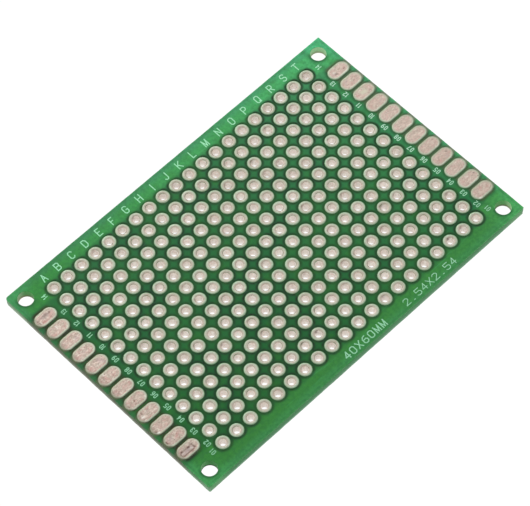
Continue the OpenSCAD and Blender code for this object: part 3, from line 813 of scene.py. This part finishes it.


# ---------------------------------------------------------------------------
# Edge pads: slot-shaped pads with a rounded rim and an uneven skin of tin
# ---------------------------------------------------------------------------
# wear and painted glints on single pads, as short strokes in the pad's own mm: (row 0 to 11, kind, x0, y0, x1, y1,
# half-width, depth);
# kind g is brown dirt, r a reddish stain, l a lilac-grey one, p a painted glint, s a smooth grey-green patch
MARKS = {
    "front_left": [
        (11, "g", 0.83, 0.26, 0.83, 0.26, 0.19, 1.00), (11, "g", -1.30, 0.10, -1.30, 0.30, 0.10, 0.50), (11, "g", -0.15, 0.26, 0.30, 0.26, 0.16, 0.36),
        (11, "g", -1.20, -0.05, -1.20, -0.45, 0.09, 0.40), (11, "r", -0.80, -0.42, -0.30, -0.56, 0.14, 0.65), (11, "r", 0.65, -0.22, 0.80, -0.14, 0.22, 0.50), (11, "g", -0.60, 0.24, 0.40, 0.26, 0.10, 0.20),
        (11, "l", -0.40, 0.15, 0.50, 0.15, 0.26, 0.34), (11, "p", -1.08, -0.15, -1.05, -0.35, 0.09, 0.60), (11, "g", 0.55, -0.44, 0.95, -0.36, 0.07, 0.30),
        (11, "g", -0.80, -0.38, 0.40, -0.55, 0.07, 0.20), (11, "l", 1.10, 0.15, 1.20, 0.05, 0.15, 0.40),
        (10, "g", -0.80, 0.45, -0.55, 0.42, 0.12, 0.26), (10, "p", -0.05, 0.50, -0.05, 0.10, 0.08, 0.55), (10, "g", -1.25, -0.05, -0.15, -0.06, 0.05, 0.24),
        (10, "r", -1.00, -0.40, -0.75, -0.45, 0.13, 0.45), (10, "r", 0.75, -0.42, 1.22, -0.04, 0.07, 0.55), (10, "g", 0.30, -0.30, 0.50, -0.10, 0.06, 0.15),
        (9, "g", -1.15, 0.35, -1.05, -0.10, 0.09, 0.20), (9, "r", -0.22, -0.14, 0.25, 0.20, 0.08, 0.35), (9, "l", 0.60, -0.30, 0.95, -0.20, 0.22, 0.35),
        (9, "g", 0.20, 0.60, 0.70, 0.60, 0.06, 0.18),
        (8, "r", -1.35, 0.00, -1.25, -0.05, 0.16, 0.35), (8, "r", 0.75, -0.10, 1.00, 0.15, 0.07, 0.35), (8, "l", -0.10, 0.00, 0.10, 0.00, 0.25, 0.20),
        (7, "r", -1.10, 0.00, -0.85, 0.15, 0.16, 0.38), (7, "l", 0.55, 0.25, 0.95, -0.20, 0.28, 0.45), (7, "g", -1.20, -0.52, -0.90, -0.62, 0.05, 0.30),
        (7, "r", 0.00, -0.60, 0.90, -0.60, 0.05, 0.30),
        (6, "g", -0.88, 0.22, -0.84, 0.20, 0.11, 0.42), (6, "g", -1.30, -0.38, -1.05, -0.52, 0.06, 0.40), (6, "r", -0.60, 0.05, -0.40, -0.20, 0.13, 0.38),
        (6, "p", -0.56, 0.80, -0.54, 0.62, 0.07, 0.70), (6, "p", -0.56, -0.82, -0.56, -0.88, 0.07, 0.70), (6, "r", -1.45, 0.05, -1.35, 0.02, 0.10, 0.35),
        (5, "g", -1.20, -0.10, -0.85, -0.28, 0.10, 0.28), (5, "r", 0.95, -0.30, 1.20, 0.00, 0.12, 0.50), (5, "r", -0.95, 0.20, -0.80, -0.10, 0.13, 0.25),
        (4, "g", -0.24, -0.10, -0.17, -0.02, 0.09, 0.62), (4, "r", 0.55, -0.50, 0.75, -0.42, 0.10, 0.45), (4, "r", -1.05, 0.35, -0.95, 0.15, 0.10, 0.35),
        (4, "g", -1.42, -0.15, -1.38, -0.18, 0.08, 0.40), (4, "p", -1.58, -0.28, -1.55, -0.20, 0.06, 0.70), (4, "p", 1.20, -0.55, 1.42, -0.35, 0.06, 0.60),
        (3, "g", -0.90, 0.50, -0.82, 0.30, 0.08, 0.42), (3, "p", -1.20, 0.00, -0.95, -0.10, 0.12, 0.60), (3, "g", -1.24, -0.44, -1.12, -0.46, 0.07, 0.50),
        (3, "r", -0.60, -0.58, -0.10, -0.60, 0.06, 0.45), (3, "l", -0.50, 0.20, 0.30, 0.20, 0.10, 0.35), (3, "r", 0.70, -0.10, 1.05, -0.05, 0.10, 0.25),
        (2, "g", -1.40, -0.34, -1.22, -0.38, 0.07, 0.80), (2, "p", -1.25, -0.62, -1.05, -0.70, 0.09, 1.00), (2, "g", 0.18, -0.45, 0.18, 0.45, 0.04, 0.14),
        (2, "g", -0.10, 0.50, 0.00, 0.40, 0.06, 0.25), (2, "g", -0.95, -0.42, 0.60, -0.46, 0.04, 0.16), (2, "r", 0.75, 0.05, 0.95, 0.00, 0.13, 0.28),
        (1, "g", -1.46, 0.20, -1.44, -0.14, 0.07, 0.75), (1, "r", -1.30, 0.15, -1.28, -0.05, 0.10, 0.50), (1, "l", -0.95, 0.15, -0.55, 0.10, 0.22, 0.45),
        (1, "r", 0.00, -0.20, 0.35, -0.05, 0.16, 0.42), (1, "g", -0.36, -0.20, -0.36, -0.45, 0.045, 0.34), (1, "p", -0.28, -0.15, -0.26, 0.20, 0.06, 0.30),
        (0, "l", -1.00, -0.15, 0.60, -0.15, 0.26, 0.55), (0, "g", -1.20, 0.18, 0.85, 0.18, 0.09, 0.32), (0, "g", -1.05, 0.18, -0.98, 0.18, 0.13, 0.66),
        (0, "g", 0.05, 0.18, 0.25, 0.16, 0.12, 0.66), (0, "g", 0.75, 0.20, 0.82, -0.45, 0.11, 0.60), (0, "g", -1.10, -0.48, 0.60, -0.50, 0.12, 0.60), (0, "g", -0.80, 0.18, -0.10, 0.18, 0.10, 0.34),
        (0, "g", -1.32, 0.00, -1.28, -0.40, 0.08, 0.50), (0, "g", -1.22, 0.70, -0.80, 0.68, 0.05, 0.22), (0, "p", 0.30, -0.10, 0.55, -0.30, 0.09, 0.40)],
    "front_right": [
        (11, "g", -0.66, -0.18, -0.58, -0.28, 0.13, 0.42), (11, "p", -0.85, 0.15, -0.65, 0.00, 0.10, 0.45), (11, "g", 0.75, -0.32, 0.95, -0.20, 0.08, 0.38),
        (11, "r", 0.85, -0.12, 1.00, -0.05, 0.14, 0.40), (11, "g", -0.20, 0.45, 0.00, 0.60, 0.06, 0.20), (11, "l", -1.10, 0.00, -1.00, -0.20, 0.15, 0.30),
        (10, "l", -0.95, 0.10, -0.50, 0.45, 0.13, 0.48), (10, "r", -0.40, -0.60, -0.05, -0.20, 0.08, 0.45), (10, "g", 0.80, -0.38, 1.05, -0.15, 0.05, 0.28),
        (10, "g", -1.25, -0.62, -0.95, -0.72, 0.06, 0.30), (10, "r", 0.75, 0.35, 0.95, 0.25, 0.14, 0.32),
        (9, "r", -1.20, 0.15, -1.00, 0.00, 0.17, 0.50), (9, "r", 0.90, 0.20, 1.10, 0.00, 0.17, 0.50), (9, "p", 1.00, 0.10, 1.05, -0.05, 0.06, 0.60),
        (9, "s", -0.28, 0.04, 0.14, 0.04, 0.42, 0.90), (9, "g", 0.75, -0.35, 0.95, -0.45, 0.09, 0.34), (9, "g", -0.90, -0.42, -0.70, -0.48, 0.06, 0.24), (9, "p", -0.30, 0.60, -0.22, 0.50, 0.06, 0.45),
        (8, "r", 1.00, -0.35, 1.20, -0.28, 0.07, 0.45), (8, "g", 1.05, 0.45, 1.20, 0.35, 0.07, 0.28), (8, "l", 0.50, -0.20, 0.90, 0.00, 0.20, 0.35),
        (8, "r", -1.25, 0.25, -1.00, -0.10, 0.15, 0.30),
        (4, "g", 1.05, 0.42, 1.15, 0.34, 0.08, 0.40),
        (3, "r", -0.80, -0.35, -0.50, -0.30, 0.14, 0.48), (3, "g", 0.95, 0.28, 1.10, 0.15, 0.09, 0.36), (3, "r", 1.20, -0.15, 1.45, -0.20, 0.08, 0.50),
        (3, "l", 0.45, -0.40, 0.70, -0.35, 0.14, 0.45), (3, "g", -0.45, 0.25, -0.35, 0.20, 0.10, 0.15),
        (2, "g", 1.08, -0.56, 1.30, -0.44, 0.05, 0.34), (2, "g", -0.40, 0.50, 0.10, 0.52, 0.06, 0.14),
        (1, "g", 1.15, 0.24, 1.25, 0.14, 0.09, 0.50), (1, "g", 1.25, -0.52, 1.32, -0.56, 0.06, 0.50), (1, "g", 0.65, 0.10, 0.80, 0.02, 0.06, 0.30),
        (1, "g", -0.95, -0.52, -0.55, -0.62, 0.05, 0.32), (1, "p", -0.15, 0.50, 0.10, 0.30, 0.08, 0.30), (1, "r", -1.00, 0.15, -0.80, 0.30, 0.14, 0.28),
        (0, "g", -0.62, 0.58, -0.50, 0.48, 0.07, 0.26), (0, "r", 0.00, 0.35, 0.15, 0.25, 0.15, 0.34), (0, "p", -1.18, -0.72, -0.95, -0.85, 0.08, 0.70),
        (0, "r", 0.85, -0.10, 1.05, -0.20, 0.10, 0.35)],
    "back_left": [], "back_right": []}
# (distance in from the rim, height below the crest)
LATTICE = 0.085
rim_profile = [(0.0, 1.0), (0.006, 0.80), (0.028, 0.42), (0.058, 0.14), (0.098, 0.03), (0.160, 0.0), (0.280, 0.005)]


def edge_pads(name, where, z_crest, z_core):
    lo, hi = box("edge_pads_" + where)
    cx = (lo[0] + hi[0]) / 2
    h = abs(z_crest - z_core)
    up = 1 if z_crest > z_core else -1
    V, F4, F3, reach, seed = [], [], [], [], []
    stain = {"g": [], "r": [], "l": [], "p": [], "s": []}
    count = 0
    for j, y in enumerate(EP_Y):
        layers = []
        for d, drop in rim_profile:
            pts = obround_points(cx, y, EP_L - 2 * d, EP_W - 2 * d, 17, 6)
            layers.append(np.c_[pts, np.full(len(pts), z_crest - up * h * drop)])
        n = len(layers[0])
        # the skin inside the rim: a lattice of points, uneven by a few thousandths of a millimetre
        d0 = rim_profile[-1][0]
        xs = np.arange(cx - EP_L / 2 + d0 + 0.07, cx + EP_L / 2 - d0 - 0.04, LATTICE)
        ys = np.arange(y - EP_W / 2 + d0 + 0.07, y + EP_W / 2 - d0 - 0.04, LATTICE)
        gx, gy = [q.ravel() for q in np.meshgrid(xs, ys)]
        core_half = (EP_L - EP_W) / 2
        reach_in = EP_W / 2 - np.hypot(np.maximum(np.abs(gx - cx) - core_half, 0), gy - y)
        keep = reach_in > d0 + 0.055
        gx, gy, reach_in = gx[keep], gy[keep], reach_in[keep]
        ring = layers[-1]
        pts2 = np.concatenate([ring[:, :2], np.c_[gx, gy]])
        sag = h * (0.01 + 0.10 * np.clip((reach_in - d0) / 0.6, 0, 1))
        bump = h * 0.07 * (noise_a(gx, gy, 2.6) + 0.6 * noise_b(gx, gy, 6.5))
        skin = np.c_[gx, gy, z_crest - up * np.clip(sag + bump + 0.04 * h, 0.0, 0.5 * h)]
        edges = [(i, (i + 1) % n) for i in range(n)]
        vs, _, fs, orig, _, _ = geometry.delaunay_2d_cdt([Vector(q) for q in pts2.tolist()], edges, [], 1, 1e-7)
        back = np.array([o[0] for o in orig])
        tri = back[np.array([list(f) for f in fs])]
        area = tri_area(pts2[tri])
        tri[area < 0] = tri[area < 0][:, ::-1]
        L = len(layers)
        block = np.concatenate(layers + [skin])
        to_block = np.concatenate([np.arange(n) + (L - 1) * n, np.arange(len(skin)) + L * n])
        tri = to_block[tri]
        # the flat face that lies on the laminate, fanned out from the middle of one round end
        under = ((8 - np.arange(n)) % n)[None, :]
        i = np.arange(n)
        quads = [np.c_[i + k * n, (i + 1) % n + k * n, (i + 1) % n + (k + 1) * n, i + (k + 1) * n] for k in range(L - 1)]
        quads = np.concatenate(quads)
        if up < 0:
            tri, quads, under = tri[:, ::-1], quads[:, ::-1], under[:, ::-1]
        V.append(block)
        F4.append(quads + count)
        F3.append(tri + count)
        reach.append(np.concatenate([np.full(n, d) for d, _ in rim_profile] + [reach_in]))
        seed.append(np.full(len(block), rng.uniform(0, 1)))
        # painted shade along the rim on the -Y side, a brown line follows the skin's edge inside it,
        # and the outer end of each pad on the left is dirtier
        from_rim = EP_W / 2 - np.hypot(np.maximum(np.abs(block[:, 0] - cx) - core_half, 0), block[:, 1] - y)
        low = np.clip((y - block[:, 1]) / (EP_W / 2), 0, 1)
        g = (0.42 if cx < 0 else 0.12) * np.exp(-(from_rim / 0.07) ** 2) * low ** 2
        g = np.maximum(g, (0.20 if cx < 0 else 0.12) * np.exp(-((from_rim - 0.46) / 0.16) ** 2) * low ** 0.5)
        if cx < 0:
            tip = block[:, 0] - (cx - EP_L / 2)
            g = np.maximum(g, 0.32 * np.exp(-((tip - 0.33) / 0.27) ** 2))
        # and a painted highlight along the rim on that side
        rim_highlight = 0.34 * np.exp(-((from_rim - 0.165) / 0.075) ** 2) * low ** 1.3
        rim_highlight = rim_highlight * (0.75 + 0.5 * np.clip(noise_a(block[:, 0] * 2.2, block[:, 1], 1.0), -1, 1))
        # pinker along the +Y side and, on the left, at the outer end
        high = np.clip((block[:, 1] - y) / (EP_W / 2), 0, 1)
        blush = 0.27 * np.exp(-((from_rim - 0.14) / 0.10) ** 2) * high ** 0.7
        outer = np.clip(np.sign(cx) * (block[:, 0] - cx) / (EP_L / 2), 0, 1)
        blush = np.maximum(blush, (0.30 if cx < 0 else 0.22) * np.exp(-((from_rim - 0.14) / 0.10) ** 2) * outer ** 3)
        # a painted highlight on the rim at the inner end, stronger on the left
        inner_end = np.clip(-np.sign(cx) * (block[:, 0] - cx) / (EP_L / 2), 0, 1)
        rim_highlight = np.maximum(rim_highlight, (0.24 if cx < 0 else 0.06) * np.exp(-((from_rim - 0.16) / 0.08) ** 2) * inner_end ** 3)
        marks = {"g": g, "r": blush, "l": np.zeros(len(block)), "p": rim_highlight, "s": np.zeros(len(block))}
        for row, kind, x0, y0, x1, y1, wide, deep in MARKS[where]:
            if row == j:
                ux, uy = x1 - x0, y1 - y0
                t = np.clip(((block[:, 0] - cx - x0) * ux + (block[:, 1] - y - y0) * uy) / max(ux * ux + uy * uy, 1e-9), 0, 1)
                q = np.hypot(block[:, 0] - cx - x0 - t * ux, block[:, 1] - y - y0 - t * uy) / wide
                q = q * (1 + 0.35 * np.clip(noise_b(block[:, 0], block[:, 1], 4.5), -1, 1))
                marks[kind] = np.maximum(marks[kind], min(1.0, (1.45 if kind == "g" else 1.0) * deep) * np.exp(-q ** 2))
        for kind, values in marks.items():
            stain[kind].append(np.clip(values, 0, 1))
        F4.append(np.zeros((0, 4), int))
        fan = np.c_[np.full(n - 2, under[0, 0]), under[0, 1:-1], under[0, 2:]] + count
        F3.append(fan)
        count += len(block)
    ob = make_mesh(name, np.concatenate(V), [np.concatenate(F3), np.concatenate(F4)], [True, True],
                   {"reach": np.concatenate(reach), "seed": np.concatenate(seed), "dirt_and_shade": np.concatenate(stain["g"]),
                    "rosy": np.concatenate(stain["r"]), "lilac": np.concatenate(stain["l"]), "glint": np.concatenate(stain["p"]),
                    "sage": np.concatenate(stain["s"])})
    ob.data.set_sharp_from_angle(angle=math.radians(60))
    return dress(ob, mat_slot, "tinned_copper", "edge_pads_" + where)


edge_pads("tinned_pads_front_left", "front_left", TOP, CORE_Z1)
edge_pads("tinned_pads_front_right", "front_right", TOP, CORE_Z1)
edge_pads("tinned_pads_back_left", "back_left", BOTTOM, CORE_Z0)
edge_pads("tinned_pads_back_right", "back_right", BOTTOM, CORE_Z0)


# ---------------------------------------------------------------------------
# Legend: the printed characters keep their own solids
# ---------------------------------------------------------------------------
for node in ("legend_letters", "legend_numbers_left", "legend_numbers_right", "legend_board_size", "legend_pitch"):
    ob = frame["nodes"][node]
    ob.data.materials.clear()
    ob.data.materials.append(mat_ink)


# ---------------------------------------------------------------------------
# Floor, light and camera
# ---------------------------------------------------------------------------
def stage_floor():
    me = bpy.data.meshes.new("floor")
    s, z = 1.5, cad_lo[2] - 0.00003
    me.from_pydata([(-s, -s, z), (s, -s, z), (s, s, z), (-s, s, z)], [], [(0, 1, 2, 3)])
    ob = bpy.data.objects.new("floor", me)
    bpy.context.scene.collection.objects.link(ob)
    mat = bpy.data.materials.new("floor_white")
    mat.use_nodes = True
    t = mat.node_tree
    t.nodes.clear()
    out = t.nodes.new("ShaderNodeOutputMaterial")
    glow = t.nodes.new("ShaderNodeEmission")
    glow.inputs["Color"].default_value = (1, 1, 1, 1)
    glow.inputs["Strength"].default_value = 1.04
    clear = t.nodes.new("ShaderNodeBsdfTransparent")
    side = t.nodes.new("ShaderNodeNewGeometry")
    mix = t.nodes.new("ShaderNodeMixShader")
    t.links.new(side.outputs["Backfacing"], mix.inputs[0])
    t.links.new(glow.outputs[0], mix.inputs[1])
    t.links.new(clear.outputs[0], mix.inputs[2])
    t.links.new(mix.outputs[0], out.inputs[0])
    me.materials.append(mat)
    ob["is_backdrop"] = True


def world():
    w = bpy.data.worlds.new("studio")
    bpy.context.scene.world = w
    w.use_nodes = True
    t = w.node_tree
    t.nodes.clear()
    out = t.nodes.new("ShaderNodeOutputWorld")
    bg = t.nodes.new("ShaderNodeBackground")
    co = t.nodes.new("ShaderNodeTexCoord")
    sep = t.nodes.new("ShaderNodeSeparateXYZ")
    t.links.new(co.outputs["Generated"], sep.inputs[0])
    r = t.nodes.new("ShaderNodeMapRange")
    r.interpolation_type = "SMOOTHSTEP"
    t.links.new(sep.outputs[2], r.inputs["Value"])
    for k, v in (("From Min", 0.35), ("From Max", 0.93), ("To Min", 1.0), ("To Max", 0.40)):
        r.inputs[k].default_value = v
    t.links.new(r.outputs[0], bg.inputs["Strength"])
    bg.inputs["Color"].default_value = (1, 1, 1, 1)
    t.links.new(bg.outputs[0], out.inputs[0])


def area(name, at, aim, size, power, colour=(1, 1, 1)):
    d = bpy.data.lights.new(name, "AREA")
    d.shape, d.size, d.energy, d.color = "DISK", size, power, colour
    ob = bpy.data.objects.new(name, d)
    ob.location = at
    ob.rotation_mode = "QUATERNION"
    ob.rotation_quaternion = (Vector(aim) - Vector(at)).to_track_quat("-Z", "Y")
    bpy.context.scene.collection.objects.link(ob)


stage_floor()
world()
area("key", (0.16, 0.46, 0.36), (0, 0, 0), 0.36, 1.5)
area("fill", (0.50, -0.05, 0.36), (0, 0, 0), 0.40, 0.3)
area("side", (-0.36, 0.26, 0.32), (0, 0, 0), 0.36, 0.4)

cam = bpy.data.cameras.new("camera")
cam.lens, cam.sensor_width = 198.714, 36.0
cam.clip_start, cam.clip_end = 0.02, 20.0
cam_ob = bpy.data.objects.new("camera", cam)
cam_ob.location = (-0.132918, -0.147695, 0.347969)
cam_ob.rotation_mode = "QUATERNION"
cam_ob.rotation_quaternion = Quaternion((0.8935483734593157, 0.24255433989690253, -0.08622205848858852, -0.36783753630560806))
bpy.context.scene.collection.objects.link(cam_ob)
bpy.context.scene.camera = cam_ob
bpy.context.scene.view_settings.view_transform = "Standard"
bpy.context.scene.view_settings.look = "None"

lo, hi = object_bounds()
